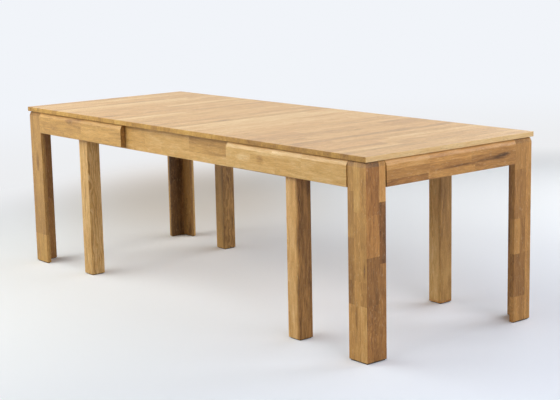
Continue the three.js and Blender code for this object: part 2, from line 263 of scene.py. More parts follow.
oakTone = {
    "cream": "efd09a",   # tone 0
    "gold": "d6a862",
    "brown": "a67a43",
    "heart": "573a19",   # tone 1
    "steps": {"gold": 0.35, "brown": 0.68},
    "pore": "4f321a",
    "fleck": "f3dcb0",
    "rosy": "f6ceb0",
    "end": "f2eed2",
    "plank": (9.0, 0.11, 0.11),   # metres of timber round its heart that the strips are cut from
    "figure": {"Cloud": 0.55, "Bands": 0.6, "Streaks": 0.65, "Fibre": 0.4, "Knots": 0.4},
    "ragged": (1.2, 0.4),   # a mark is stronger in the bands of the grain than between them
    "rays": 0.14,   # strength of the flecks
    "pores": 0.4,   # and of the dark pores
    "poreRoughness": 0.2,
    "endRoughness": 0.15,
    "fibreRoughness": 0.12,
    "fibreRelief": 0.5,
    "ringRelief": 0.3,
}


def buildOak(tones, grainGroup):
    tree, given, out = newGroup(
        "OiledOak",
        {"vector": "Place",
         "value": "Tone Hue Pick Mark EndGrain EndTone Figure Mottle Swirl Ring Rosy Rings Roughness"},
        {"colour": "Colour", "value": "Roughness Relief"},
    )
    length, wide, deep = tones["plank"]
    spot = vectorCalc(tree, "MULTIPLY", chanceAt(tree, "1D", W=given["Pick"])["Color"], (length, wide, deep))
    spot = vectorCalc(tree, "SUBTRACT", spot, (0.0, wide / 2, deep / 2))
    local = vectorCalc(tree, "ADD", given["Place"], spot)
    grain = useGroup(tree, grainGroup, Local=local, Swirl=given["Swirl"], Ring=given["Ring"])
    amounts = {name: calc(tree, "MULTIPLY", given["Figure"], part) for name, part in tones["figure"].items()}
    amounts.update(Mottle=given["Mottle"], Rings=given["Rings"])
    tone = given["Tone"]
    for name in ("Cloud", "Bands", "Streaks", "Mottle", "Rings", "Fibre"):
        tone = nudge(tree, grain[name], amounts[name], tone)
    tone = calc(tree, "MULTIPLY_ADD", grain["Knots"], amounts["Knots"], tone)
    ragged = calc(tree, "MULTIPLY_ADD", grain["Bands"], *tones["ragged"])
    tone = calc(tree, "MULTIPLY_ADD", given["Mark"], ragged, tone)
    tone = calc(tree, "MULTIPLY_ADD", given["EndGrain"], given["EndTone"], tone, clamp=True)
    ramp = add(tree, "ShaderNodeValToRGB", {"Fac": tone})
    ramp.color_ramp.elements[0].color = paint(tones["cream"])
    ramp.color_ramp.elements[1].color = paint(tones["heart"])
    for name, position in tones["steps"].items():
        ramp.color_ramp.elements.new(position).color = paint(tones[name])
    colour = ramp.outputs["Color"]
    rosy = calc(tree, "MULTIPLY", given["Hue"], given["Rosy"])
    rosy = calc(tree, "MULTIPLY", rosy, calc(tree, "SUBTRACT", 1.0, given["EndGrain"]))
    colour = blend(tree, rosy, colour, tinted(tree, colour, paint(tones["rosy"])))
    colour = blend(tree, given["EndGrain"], colour, tinted(tree, colour, paint(tones["end"])))
    flecked = calc(tree, "MULTIPLY", grain["Rays"], tones["rays"])
    colour = blend(tree, flecked, colour, paint(tones["fleck"]))
    porous = calc(tree, "MULTIPLY", grain["Pores"], tones["pores"])
    colour = blend(tree, porous, colour, paint(tones["pore"]))
    feed(tree, out["Colour"], colour)
    rough = calc(tree, "MULTIPLY_ADD", grain["Pores"], tones["poreRoughness"], given["Roughness"])
    rough = calc(tree, "MULTIPLY_ADD", given["EndGrain"], tones["endRoughness"], rough)
    feed(tree, out["Roughness"], nudge(tree, grain["Fibre"], tones["fibreRoughness"], rough))
    sunk = calc(tree, "MULTIPLY", grain["Pores"], -1.0)
    relief = calc(tree, "MULTIPLY_ADD", grain["Fibre"], tones["fibreRelief"], sunk)
    feed(tree, out["Relief"], nudge(tree, grain["Rings"], tones["ringRelief"], relief))
    return tree


stavesGroup = buildStaves(staveCuts)
oakGroup = buildOak(oakTone, buildGrain(oakGrain))
print("wood patterns built")


# Materials

def emptyMaterial(name):
    material = bpy.data.materials.new(name)
    material.use_nodes = True
    material.node_tree.nodes.clear()
    return material, material.node_tree


def addSurface(tree, colour, roughness, height, look):
    bump = add(tree, "ShaderNodeBump", {"Height": height, "Strength": look["relief"],
                                        "Distance": look["reliefDepth"]})
    shader = add(tree, "ShaderNodeBsdfPrincipled", {"Base Color": colour, "Roughness": roughness,
                                                    "Metallic": look["metallic"], "Normal": bump.outputs[0]})
    add(tree, "ShaderNodeOutputMaterial", {"Surface": shader.outputs[0]})


def dress(name, material):
    slots = nodes[name].data.materials
    slots.clear()
    slots.append(material)


# Boards. Axes name the directions along the grain, across the strips and through them.

boardLook = {
    "metallic": 0.0,
    "roughness": 0.42,
    "relief": 0.3,
    "reliefDepth": 0.0004,
    "ring": 0.0034,   # width of a year ring
    "endEdge": (0.1, 0.45),   # lean of a face across the grain, where end grain begins and where it is full
    "marksAndPaintedLight": (),   # knots and streaks, and also painted shade and painted light; each has its place along and across the board, its length, its width and its strength
    "markEdge": (0.1, 0.5),   # shares of its size from its middle, where a mark begins to fade and ends
}


def lowCorner(name):
    return Vector(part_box(name)[0])


def span(name, axis):
    low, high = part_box(name)
    index = "xyz".index(axis)
    return high[index] - low[index]


def boardAxes(tree, axes, origin):
    centred = vectorCalc(tree, "SUBTRACT", add(tree, "ShaderNodeTexCoord").outputs["Object"], origin)
    parts = dict(zip("xyz", separate(tree, centred)))
    return [parts[axis] for axis in axes]


def wayOf(axis):
    return tuple(1.0 if letter == axis else 0.0 for letter in "xyz")


def markAndPaintedLightMask(tree, where, marksAndPaintedLight, edge):
    # Each one darkens the wood, or makes it paler where its strength is below zero; some are knots and
    # streaks in the wood, others are painted shade and painted light
    total = 0.0
    along, across = separate(tree, where)[:2]
    for far, high, length, width, strength in marksAndPaintedLight:
        off = combine(tree, calc(tree, "DIVIDE", calc(tree, "SUBTRACT", along, far), length),
                      calc(tree, "DIVIDE", calc(tree, "SUBTRACT", across, high), width), 0.0)
        spot = remap(tree, vectorCalc(tree, "LENGTH", off), *edge, strength, 0.0)
        total = calc(tree, "ADD", spot, total)
    return total


def finishBoard(tree, where, grainWay, tone, hue, pick, look):
    normal = add(tree, "ShaderNodeTexCoord").outputs["Normal"]
    lean = calc(tree, "ABSOLUTE", vectorCalc(tree, "DOT_PRODUCT", normal, grainWay))
    markAndPaintedLight = markAndPaintedLightMask(tree, where, look["marksAndPaintedLight"], look["markEdge"])
    oak = useGroup(tree, oakGroup, Place=where, Tone=tone, Hue=hue, Pick=pick, Mark=markAndPaintedLight,
                   EndGrain=remap(tree, lean, *look["endEdge"]), EndTone=look["endTone"],
                   Figure=look["figure"], Mottle=look["mottle"], Swirl=look["swirl"], Ring=look["ring"],
                   Rosy=look["rosy"], Rings=look["rings"], Roughness=look["roughness"])
    addSurface(tree, oak["Colour"], oak["Roughness"], oak["Relief"], look)


def randomBoard(name, axes, origin, look):
    material, tree = emptyMaterial(name)
    where = combine(tree, *boardAxes(tree, axes, origin))
    strips = useGroup(tree, stavesGroup, Place=where, Width=look["width"], Depth=look["depth"],
                      Length=look["length"], Seed=look["seed"])
    tone = nudge(tree, strips["Tone"], look["spread"], look["tone"])
    finishBoard(tree, where, wayOf(axes[0]), tone, strips["Hue"], strips["Pick"], look)
    return material


def stepRamp(tree, share, steps):
    ramp = add(tree, "ShaderNodeValToRGB", {"Fac": share})
    ramp.color_ramp.interpolation = "CONSTANT"
    stops = ramp.color_ramp.elements
    stops[0].color = steps[0][1]
    for position, shades in steps[1:]:
        stops.new(position).color = shades
    stops[len(stops) - 1].color = steps[-1][1]
    return ramp.outputs["Color"]


# Laid boards list each length of each strip: where it ends, its tone and its rosiness. Which part of the
# plank it shows follows from its number, its strip's number and its tone, so that neighbours differ.

pickSteps = {"length": 0.37, "strip": 0.23}


def lengthRamp(tree, share, lengths, total, strip):
    steps = []
    start = 0.0
    for index, (end, tone, hue) in enumerate(lengths):
        pick = (pickSteps["length"] * index + pickSteps["strip"] * strip + tone) % 1.0
        steps.append((start / total, (tone, hue, pick, 1)))
        start = end
    return stepRamp(tree, share, steps)


def pickStrip(tree, along, across, total, edges, strips):
    share = calc(tree, "DIVIDE", along, total)
    ramps = [lengthRamp(tree, share, lengths, total, index) for index, lengths in enumerate(strips)]
    chosen = ramps[0]
    for edge, ramp in zip(edges, ramps[1:]):
        chosen = blend(tree, calc(tree, "GREATER_THAN", across, edge), chosen, ramp)
    return separate(tree, chosen)


# Table top: strips run across the table. Their tones, in tenths, are listed from left to right.

topLook = {
    **boardLook, "figure": 0.62, "mottle": 0.3, "swirl": 0.008, "rosy": 0.16, "rings": 0.05,
    "roughness": 0.36, "relief": 0.2, "depth": 1.0, "length": 0.62, "spread": 0.2, "firstSeed": 3.0,
    "drop": 0.001,   # keeps the lower face clear of the bound between two layers
}
topBoards = {
    "left_top": {"tones": "4 3 3 3 3 4 3 3 3 4 3 3 4 3 4 3 4 3", "endTone": 0.08},
    "left_leaf": {"tones": "4 4 4 4 3 4 4 5", "endTone": 0.1},
    "right_leaf": {"tones": "3 3 3 3 3 3 3 3", "endTone": 0.1},
    "right_top": {"tones": "4 4 3 4 4 4 4 3 5 4 4 3 3 4 4 5 4 4", "endTone": 0.14,
                  "marksAndPaintedLight": [(0.45, 0.8, 50.0, 0.004, -0.34)]},   # painted light: its edge at the end of the table is made paler, for the light that falls on it from the right
}


def topBoard(name, look):
    material, tree = emptyMaterial("oak_" + name)
    along, across, through = boardAxes(tree, "yxz", lowCorner(name) - Vector((0, 0, look["drop"])))
    tones = [int(tone) / 10 for tone in look["tones"].split()]
    wide = span(name, "x")
    steps = [(index / len(tones), (tone, tone, tone, 1)) for index, tone in enumerate(tones)]
    stripTone = separate(tree, stepRamp(tree, calc(tree, "DIVIDE", across, wide), steps))[0]
    where = combine(tree, along, across, through)
    strips = useGroup(tree, stavesGroup, Place=where, Width=wide / len(tones), Depth=look["depth"],
                      Length=look["length"], Seed=look["seed"])
    tone = nudge(tree, strips["Tone"], look["spread"], stripTone)
    finishBoard(tree, where, wayOf("y"), tone, strips["Hue"], strips["Pick"], look)
    return material


for seed, (name, own) in enumerate(topBoards.items()):
    dress(name, topBoard(name, {**topLook, **own, "seed": seed + topLook["firstSeed"]}))


# Corner legs: two boards mitred along the corner. Strips are listed from the far edge of the end face,
# round the corner, to the far edge of the side face, and lengths from the floor up.

legLook = {
    **boardLook, "swirl": 0.022, "rosy": 0.6, "rings": 0.12, "endTone": 0.25,
    "strip": 0.0323,   # width of a strip
    "inside": 0.012,   # depth at which the boards count as seen from inside the corner, where painted shade darkens them
}
legs = {
    "front_left": {
        "figure": 0.45, "mottle": 0.2, "paintedInsideShade": 0.12,
        "strips": [
            [(0.3, 0.5, 0.4), (0.74, 0.58, 0.4)],
            [(0.5, 0.52, 0.4), (0.74, 0.46, 0.4)],
            [(0.2, 0.5, 0.4), (0.74, 0.56, 0.4)],
            [(0.14, 0.48, 0.0), (0.45, 0.6, 0.0), (0.74, 0.57, 0.0)],
            [(0.14, 0.42, 0.0), (0.45, 0.54, 0.0), (0.74, 0.52, 0.0)],
            [(0.14, 0.45, 0.0), (0.3, 0.58, 0.0), (0.74, 0.55, 0.0)],
        ],
    },
    "front_right": {
        "figure": 0.6, "mottle": 0.35, "paintedInsideShade": 0.0,
        "strips": [
            [(0.36, 0.69, 0.7), (0.585, 0.88, 1.0), (0.74, 0.36, 0.7)],
            [(0.213, 0.7, 0.6), (0.39, 0.78, 0.6), (0.54, 0.57, 0.8), (0.74, 0.7, 0.9)],
            [(0.213, 0.67, 0.7), (0.39, 0.76, 0.6), (0.54, 0.56, 0.8), (0.74, 0.68, 0.9)],
            [(0.21, 0.32, 0.4), (0.3, 0.54, 0.4), (0.55, 0.53, 0.3), (0.74, 0.53, 0.4)],
            [(0.3, 0.44, 0.4), (0.55, 0.5, 0.3), (0.74, 0.39, 0.1)],
            [(0.212, 0.43, 0.5), (0.455, 0.68, 0.3), (0.625, 0.57, 0.2), (0.74, 0.52, 0.2)],
        ],
        # The first is painted shade: a darker band at the top of the leg, under the overhang of the top. The
        # others are dark spots in the wood.
        "marksAndPaintedLight": [(0.728, 0.0, 0.034, 50.0, 0.05), (0.34, 0.012, 0.08, 0.016, 0.3),
                  (0.17, 0.055, 0.14, 0.02, 0.2)],
    },
    "back_left": {
        "figure": 0.4, "mottle": 0.2, "paintedInsideShade": 0.4,
        "strips": [
            [(0.3, 0.5, 0.1), (0.74, 0.56, 0.1)],
            [(0.4, 0.54, 0.1), (0.74, 0.5, 0.1)],
            [(0.25, 0.46, 0.1), (0.74, 0.52, 0.1)],
            [(0.35, 0.36, 0.1), (0.74, 0.4, 0.1)],
            [(0.2, 0.4, 0.1), (0.74, 0.32, 0.1)],
            [(0.5, 0.34, 0.1), (0.74, 0.42, 0.1)],
        ],
    },
    "back_right": {
        "figure": 0.55, "mottle": 0.25, "paintedInsideShade": 0.0,
        "strips": [
            [(0.106, 0.52, 0.5), (0.278, 0.72, 0.5), (0.419, 0.51, 0.5), (0.613, 0.64, 0.5),
             (0.74, 0.56, 0.5)],
            [(0.106, 0.6, 0.5), (0.278, 0.72, 0.5), (0.419, 0.68, 0.5), (0.613, 0.64, 0.5),
             (0.74, 0.56, 0.5)],
            [(0.28, 0.5, 0.5), (0.74, 0.48, 0.6)],
            [(0.28, 0.5, 0.5), (0.74, 0.48, 0.6)],
            [(0.4, 0.56, 0.5), (0.74, 0.46, 0.5)],
            [(0.3, 0.6, 0.5), (0.74, 0.7, 0.5)],
        ],
    },
}


def cornerLeg(name, end, side, look):
    material, tree = emptyMaterial("oak_" + name)
    low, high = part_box(name)
    outer = (high[0] if end > 0 else low[0], high[1] if side > 0 else low[1], 0.0)
    x, y, z = boardAxes(tree, "xyz", outer)
    fromEnd = calc(tree, "MULTIPLY", x, -float(end))
    fromSide = calc(tree, "MULTIPLY", y, -float(side))
    onEndBoard = calc(tree, "GREATER_THAN", fromSide, fromEnd)
    onSideBoard = calc(tree, "SUBTRACT", 1.0, onEndBoard)
    across = calc(tree, "SUBTRACT", calc(tree, "MULTIPLY", onSideBoard, fromEnd),
                  calc(tree, "MULTIPLY", onEndBoard, fromSide))
    through = calc(tree, "MINIMUM", fromEnd, fromSide)
    edges = [look["strip"] * step for step in (-2, -1, 0, 1, 2)]
    tone, hue, pick = pickStrip(tree, z, across, high[2], edges, look["strips"])
    # Painted shade: the faces inside the corner are darkened by each leg's own amount, for the shade that
    # falls there
    onInside = calc(tree, "GREATER_THAN", through, look["inside"])
    tone = calc(tree, "MULTIPLY_ADD", onInside, look["paintedInsideShade"], tone)
    finishBoard(tree, combine(tree, z, across, through), wayOf("z"), tone, hue, pick, look)
    return material


for endName, end in ends.items():
    for sideName, side in sides.items():
        corner = sideName + "_" + endName
        name = corner + "_corner_leg"
        dress(name, cornerLeg(name, end, side, {**legLook, **legs[corner]}))


# Aprons: three strips high, listed from the bottom up. Those without a list get random lengths.

apronLook = {
    **boardLook, "figure": 0.62, "mottle": 0.22, "swirl": 0.014, "rosy": 0.5, "rings": 0.1, "endTone": 0.3,
    "rows": 3,
    "shortest": 0.2,   # metres of a random length
    "longest": 0.45,
    "tones": (0.25, 0.5),   # between which its tone lies
    "endSeed": 50, "sideSeed": 60, "innerSeed": 80,
}
innerApronLook = {**apronLook, "shortest": 0.3, "longest": 0.6}
apronBoards = {
    "right_end_apron": {
        "edges": [0.025, 0.06],
        "strips": [
            [(0.24, 0.66, 0.8), (0.49, 0.44, 0.7), (0.7, 0.64, 0.7)],
            [(0.25, 0.55, 0.7), (0.47, 0.56, 0.8), (0.7, 0.6, 0.7)],
            [(0.25, 0.34, 0.7), (0.47, 0.43, 0.8), (0.7, 0.5, 0.7)],
        ],
        # The first is painted light: a paler band along the top bevel, where the light falls on it. The
        # others are knots and streaks in the wood.
        "marksAndPaintedLight": [(0.35, 0.098, 50.0, 0.05, -0.08), (0.6, 0.04, 0.26, 0.028, 0.3),
                  (0.655, 0.048, 0.1, 0.02, 0.45), (0.4, 0.034, 0.3, 0.016, 0.25)],
    },
    "front_left_side_apron": {
        "strips": [
            [(0.25, 0.48, 0.0), (0.73, 0.42, 0.0)],
            [(0.4, 0.5, 0.0), (0.73, 0.4, 0.0)],
            [(0.12, 0.48, 0.0), (0.42, 0.5, 0.1), (0.73, 0.45, 0.0)],
        ],
        "marksAndPaintedLight": [(0.3, 0.075, 0.1, 0.03, 0.25), (0.36, 0.09, 0.22, 0.02, 0.12)],
    },
    "front_right_side_apron": {
        "strips": [
            [(0.3, 0.3, 0.0), (0.7, 0.33, 0.0)],
            [(0.15, 0.25, 0.0), (0.45, 0.34, 0.0), (0.7, 0.3, 0.0)],
            [(0.28, 0.28, 0.0), (0.45, 0.18, 0.0), (0.7, 0.28, 0.1)],
        ],
        "marksAndPaintedLight": [(0.21, 0.045, 0.06, 0.05, 0.2)],
    },
    "front_inner_apron": {
        "strips": [
            [(0.62, 0.36, 0.1), (1.1, 0.3, 0.0), (1.47, 0.4, 0.1)],
            [(0.5, 0.4, 0.1), (0.82, 0.32, 0.0), (1.1, 0.46, 0.0), (1.47, 0.4, 0.1)],
            [(0.5, 0.4, 0.1), (0.82, 0.34, 0.0), (1.1, 0.52, 0.0), (1.47, 0.4, 0.1)],
        ],
    },
}


def cutLengths(seed, total, look):
    chance = random.Random(seed)
    lengths = []
    end = 0.0
    while end < total:
        end = min(end + chance.uniform(look["shortest"], look["longest"]), total)
        lengths.append((end, chance.uniform(*look["tones"]), chance.random()))
    return lengths


def dressApron(name, axes, look, seed):
    own = apronBoards.get(name, {})
    total = span(name, axes[0])
    high = span(name, axes[1])
    rows = look["rows"]
    edges = own.get("edges") or [high * step / rows for step in range(1, rows)]
    strips = own.get("strips") or [cutLengths(seed + row, total, look) for row in range(rows)]
    material, tree = emptyMaterial("oak_" + name)
    along, across, through = boardAxes(tree, axes, lowCorner(name))
    tone, hue, pick = pickStrip(tree, along, across, total, edges, strips)
    where = combine(tree, along, across, through)
    finishBoard(tree, where, wayOf(axes[0]), tone, hue, pick, {**look, **own})
    dress(name, material)


for endName, end in ends.items():
    dressApron(endName + "_end_apron", "yzx", apronLook, apronLook["endSeed"] + end)
    for sideName, side in sides.items():
        seed = apronLook["sideSeed"] + 3 * end + side
        dressApron(sideName + "_" + endName + "_side_apron", "xzy", apronLook, seed)
for sideName, side in sides.items():
    dressApron(sideName + "_inner_apron", "xzy", innerApronLook, innerApronLook["innerSeed"] + side)


# Inner legs: plain squares cut from one plank each, with the figure of its face

innerLegLook = {
    **boardLook, "figure": 0.75, "mottle": 0.25, "swirl": 0.012, "rings": 0.22, "endTone": 0.25,
    "width": 1.0, "depth": 1.0, "length": 9.0, "spread": 0.0, "firstSeed": 2.0,
    "inset": 0.01,   # keeps the faces clear of the bound between two strips
}
# Painted shade: the marks across 0.077 darken the face of each leg towards the right end. Painted light: the
# second one on back_right makes its lower part paler.
innerLegs = {
    "front_left": {"tone": 0.33, "rosy": 0.1, "ring": 0.009, "rings": 0.34, "swirl": 0.024,
                   "marksAndPaintedLight": [(0.35, 0.01, 50.0, 0.03, -0.15)]},
    "front_right": {"tone": 0.25, "rosy": 0.3, "marksAndPaintedLight": [(0.35, 0.077, 50.0, 0.04, 0.42)]},
    "back_left": {"tone": 0.42, "rosy": 0.2, "figure": 0.5, "marksAndPaintedLight": [(0.35, 0.077, 50.0, 0.04, 0.26)]},
    "back_right": {"tone": 0.4, "rosy": 0.9, "figure": 0.55,
                   "marksAndPaintedLight": [(0.35, 0.077, 50.0, 0.04, 0.22), (0.12, 0.04, 0.5, 50.0, -0.12)]},
}

for seed, (corner, own) in enumerate(innerLegs.items()):
    name = corner + "_inner_leg"
    look = {**innerLegLook, **own, "seed": seed + innerLegLook["firstSeed"]}
    origin = lowCorner(name) - Vector((look["inset"], look["inset"], 0))
    dress(name, randomBoard("oak_" + name, "zxy", origin, look))


# Hidden frame: oak cross rails, and runners, guides, cleats, braces, pegs and dowels of beech

railLook = {
    **apronLook, "width": 0.031, "depth": 1.0, "length": 0.4, "spread": 0.3, "tone": 0.45, "firstSeed": 30.0,
}
beechLook = {
    **boardLook, "figure": 0.35, "mottle": 0.1, "swirl": 0.008, "rosy": 1.0, "rings": 0.05, "endTone": 0.15,
    "roughness": 0.5, "relief": 0.15, "width": 1.0, "depth": 1.0, "length": 9.0, "spread": 0.1, "tone": 0.24,
    "seed": 40.0,
    "origin": (-1.5, -1.5, -1.5),   # beyond the table, so that all pieces are measured from one corner
}
beechPieces = {
    "xyz": ("_runner", "_runner_guide", "_dowel"),
    "yxz": ("_cleat", "_brace"),
    "zxy": ("_peg",),
}

for seed, name in enumerate(("left_cross_rail", "middle_cross_rail", "right_cross_rail")):
    look = {**railLook, "seed": seed + railLook["firstSeed"]}
    dress(name, randomBoard("oak_" + name, "yzx", lowCorner(name), look))
for axes, endings in beechPieces.items():
    beech = randomBoard("beech_" + axes, axes, beechLook["origin"], beechLook)
    for name in nodes:
        if name.endswith(endings):
            dress(name, beech)


# Felt glides under the legs

feltLook = {
    "dark": "15120f",
    "light": "3a332c",
    "fuzz": ((900.0, 900.0, 900.0), 3.0, 0.6),
    "roughness": (0.85, 1.0),
    "metallic": 0.0,
    "relief": 0.5,
    "reliefDepth": 0.0004,
}


def feltMaterial(look):
    material, tree = emptyMaterial("dark_felt")
    fuzz = noise(tree, add(tree, "ShaderNodeTexCoord").outputs["Object"], *look["fuzz"])
    colour = blend(tree, fuzz, paint(look["dark"]), paint(look["light"]))
    addSurface(tree, colour, remap(tree, fuzz, 0.0, 1.0, *look["roughness"]), fuzz, look)
    return material


felt = feltMaterial(feltLook)
for name in nodes:
    if name.endswith("_glide"):
        dress(name, felt)
print("finishes dressed")


# Fixings, set out with geometry nodes: screws with a cross recess, and a bolt and nut in each brace

screwSizes = {
    "Head Radius": 0.0044, "Head Depth": 0.0028, "Tip Share": 0.45, "Proud": 0.0003, "Rim Share": 0.86,
    "Recess Width": 0.0011, "Recess Reach": 0.0052,
}
boltSizes = {
    "Washer Radius": 0.0115, "Washer Depth": 0.0016, "Nut Radius": 0.0078, "Nut Depth": 0.0065,
    "Chamfer Foot": 1.3, "Chamfer Head": 0.9, "Bolt Radius": 0.004, "Bolt Reach": 0.0125,
}
facets = {"screw": 28, "washer": 32, "nut": 6, "bolt": 20}
zincLook = {
    "light": "cfcdc6",
    "dark": "8f8d86",
    "patches": ((260.0, 260.0, 260.0), 3.0, 0.6),
    "patchEdge": (0.3, 0.7),
    "brush": ((2600.0, 2600.0, 2600.0), 2.0, 0.5),
    "roughness": (0.26, 0.46),
    "metallic": 1.0,
    "relief": 0.15,
    "reliefDepth": 0.0002,
}
fixings = {
    "cleatScrews": 4, "cleatInset": 0.06,
    "runnerScrews": 3, "runnerFrom": 0.8, "runnerTo": 1.08,   # from the middle of the table
    "braceScrewGap": 0.034,
    "turnSeed": 7,
    "mergeReach": 0.00002,   # closes the slivers that cutting leaves
}


def zincMaterial(look):
    material, tree = emptyMaterial("zinc_plate")
    where = add(tree, "ShaderNodeTexCoord").outputs["Object"]
    patches = noise(tree, where, *look["patches"])
    colour = blend(tree, patches, paint(look["dark"]), paint(look["light"]))
    roughness = remap(tree, patches, *look["patchEdge"], *look["roughness"])
    addSurface(tree, colour, roughness, noise(tree, where, *look["brush"]), look)
    return material


def shapeTree(name, sizes):
    tree = bpy.data.node_groups.new(name, "GeometryNodeTree")
    tree.interface.new_socket("Points", in_out="INPUT", socket_type="NodeSocketGeometry")
    for label, value in sizes.items():
        socket = tree.interface.new_socket(label, in_out="INPUT", socket_type="NodeSocketFloat")
        socket.default_value = value
    tree.interface.new_socket("Material", in_out="INPUT", socket_type="NodeSocketMaterial")
    tree.interface.new_socket("Geometry", in_out="OUTPUT", socket_type="NodeSocketGeometry")
    return tree, tree.nodes.new("NodeGroupInput").outputs, tree.nodes.new("NodeGroupOutput").inputs


def lifted(tree, shape, height):
    inputs = {"Geometry": shape.outputs[0], "Translation": combine(tree, 0.0, 0.0, height)}
    return add(tree, "GeometryNodeTransform", inputs)


def cylinder(tree, count, radius, depth):
    return add(tree, "GeometryNodeMeshCylinder", {"Vertices": count, "Radius": radius, "Depth": depth})


def cone(tree, count, foot, head, depth):
    inputs = {"Vertices": count, "Radius Bottom": foot, "Radius Top": head, "Depth": depth}
    return add(tree, "GeometryNodeMeshCone", inputs)


def merged(tree, operation, first, others):
    node = add(tree, "GeometryNodeMeshBoolean", operation=operation, solver="EXACT")
    if first:
        tree.links.new(first.outputs[0], node.inputs[0])
    for other in others:
        tree.links.new(other.outputs[0], node.inputs[1])
    return node


def setOut(tree, given, out, shape, seed):
    # One copy on each point, facing the way that the point says, turned at random about its own axis
    facing = add(tree, "GeometryNodeInputNamedAttribute", {"Name": "facing"}, data_type="FLOAT_VECTOR")
    aim = add(tree, "FunctionNodeAlignRotationToVector", {"Vector": facing.outputs["Attribute"]}, axis="Z")
    chance = add(tree, "FunctionNodeRandomValue", {"Seed": seed}, data_type="FLOAT")
    chance.inputs[3].default_value = math.tau   # the upper limit of a plain number
    turn = add(tree, "FunctionNodeAxisAngleToRotation", {"Axis": (0, 0, 1), "Angle": chance.outputs[1]})
    inputs = {"Rotation": aim.outputs[0], "Rotate By": turn.outputs[0]}
    whole = add(tree, "FunctionNodeRotateRotation", inputs, rotation_space="LOCAL")
    laid = add(tree, "GeometryNodeInstanceOnPoints",
               {"Points": given["Points"], "Instance": shape.outputs[0], "Rotation": whole.outputs[0]})
    solid = add(tree, "GeometryNodeRealizeInstances", {"Geometry": laid.outputs[0]})
    inputs = {"Geometry": solid.outputs[0], "Material": given["Material"]}
    dressed = add(tree, "GeometryNodeSetMaterial", inputs)
    tree.links.new(dressed.outputs[0], out["Geometry"])


def screwTree(sizes, seed):
    tree, given, out = shapeTree("CountersunkScrews", sizes)
    radius, depth, proud = given["Head Radius"], given["Head Depth"], given["Proud"]
    tip = calc(tree, "MULTIPLY", radius, given["Tip Share"])
    sunk = lifted(tree, cone(tree, facets["screw"], tip, radius, depth), calc(tree, "MULTIPLY", depth, -1.0))
    rim = cone(tree, facets["screw"], radius, calc(tree, "MULTIPLY", radius, given["Rim Share"]), proud)
    head = merged(tree, "UNION", None, (sunk, rim))
    reach, width = given["Recess Reach"], given["Recess Width"]
    arms = []
    for long, wide in ((reach, width), (width, reach)):
        bar = add(tree, "GeometryNodeMeshCube", {"Size": combine(tree, long, wide, depth)})
        arms.append(lifted(tree, bar, proud))
    setOut(tree, given, out, merged(tree, "DIFFERENCE", head, arms), seed)
    return tree


def boltTree(sizes, seed, mergeReach):
    tree, given, out = shapeTree("BoltsAndNuts", sizes)
    washerDepth, nutRadius, nutDepth = given["Washer Depth"], given["Nut Radius"], given["Nut Depth"]
    half = calc(tree, "MULTIPLY", nutDepth, 0.5)
    foot = calc(tree, "MULTIPLY", nutRadius, given["Chamfer Foot"])
    head = calc(tree, "MULTIPLY", nutRadius, given["Chamfer Head"])
    chamfer = cone(tree, facets["washer"], foot, head, nutDepth)
    turned = lifted(tree, chamfer, calc(tree, "MULTIPLY", half, -1.0))
    nut = merged(tree, "INTERSECT", None, (cylinder(tree, facets["nut"], nutRadius, nutDepth), turned))
    washer = cylinder(tree, facets["washer"], given["Washer Radius"], washerDepth)
    bolt = cylinder(tree, facets["bolt"], given["Bolt Radius"], given["Bolt Reach"])
    stack = (lifted(tree, washer, calc(tree, "MULTIPLY", washerDepth, 0.5)),
             lifted(tree, nut, calc(tree, "ADD", washerDepth, half)),
             lifted(tree, bolt, calc(tree, "MULTIPLY", given["Bolt Reach"], 0.5)))
    whole = merged(tree, "UNION", None, stack)
    clean = add(tree, "GeometryNodeMergeByDistance", {"Geometry": whole.outputs[0], "Distance": mergeReach})
    setOut(tree, given, out, clean, seed)
    return tree


def fit(name, body, tree, sizes, spots, material):
    points = bpy.data.meshes.new(name + "_points")
    points.from_pydata([spot for spot, way in spots], [], [])
    facing = points.attributes.new("facing", "FLOAT_VECTOR", "POINT")
    for row, (spot, way) in zip(facing.data, spots):
        row.vector = way
    holder = bpy.data.objects.new(name + "_points", points)
    bpy.context.scene.collection.objects.link(holder)
    layout = holder.modifiers.new("layout", "NODES")
    layout.node_group = tree
    sockets = {item.name: item.identifier for item in tree.interface.items_tree if item.in_out == "INPUT"}
    for label, value in sizes.items():
        layout[sockets[label]] = value
    layout[sockets["Material"]] = material
    mesh = bpy.data.meshes.new_from_object(holder.evaluated_get(bpy.context.evaluated_depsgraph_get()))
    mesh.name = name
    bpy.data.objects.remove(holder)
    piece = bpy.data.objects.new(name, mesh)
    bpy.context.scene.collection.objects.link(piece)
    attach(piece, body)


def middleOf(name):
    return (lowCorner(name) + Vector(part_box(name)[1])) / 2


def faceMiddle(name, way, closeness=0.95):
    # Closeness is 1 for a face that points exactly that way
    faces = [face for face in nodes[name].data.polygons if face.normal.dot(way) > closeness]
    weighed = sum((face.center * face.area for face in faces), Vector())
    return weighed / sum(face.area for face in faces)


def evenly(low, high, count):
    return [low + (high - low) * step / (count - 1) for step in range(count)]


def endSpots(endName, end, layout):
    # Up into the top: through the cleat, and through both runners beyond the last rail
    down = Vector((0, 0, -1))
    cleat = endName + "_cleat"
    reach = span(cleat, "y") / 2 - layout["cleatInset"]
    row = evenly(-reach, reach, layout["cleatScrews"])
    spots = [((middleOf(cleat).x, y, lowCorner(cleat).z), down) for y in row]
    for sideName in sides:
        runner = sideName + "_" + endName + "_runner"
        for x in evenly(layout["runnerFrom"], layout["runnerTo"], layout["runnerScrews"]):
            spots.append(((end * x, middleOf(runner).y, lowCorner(runner).z), down))
    return spots


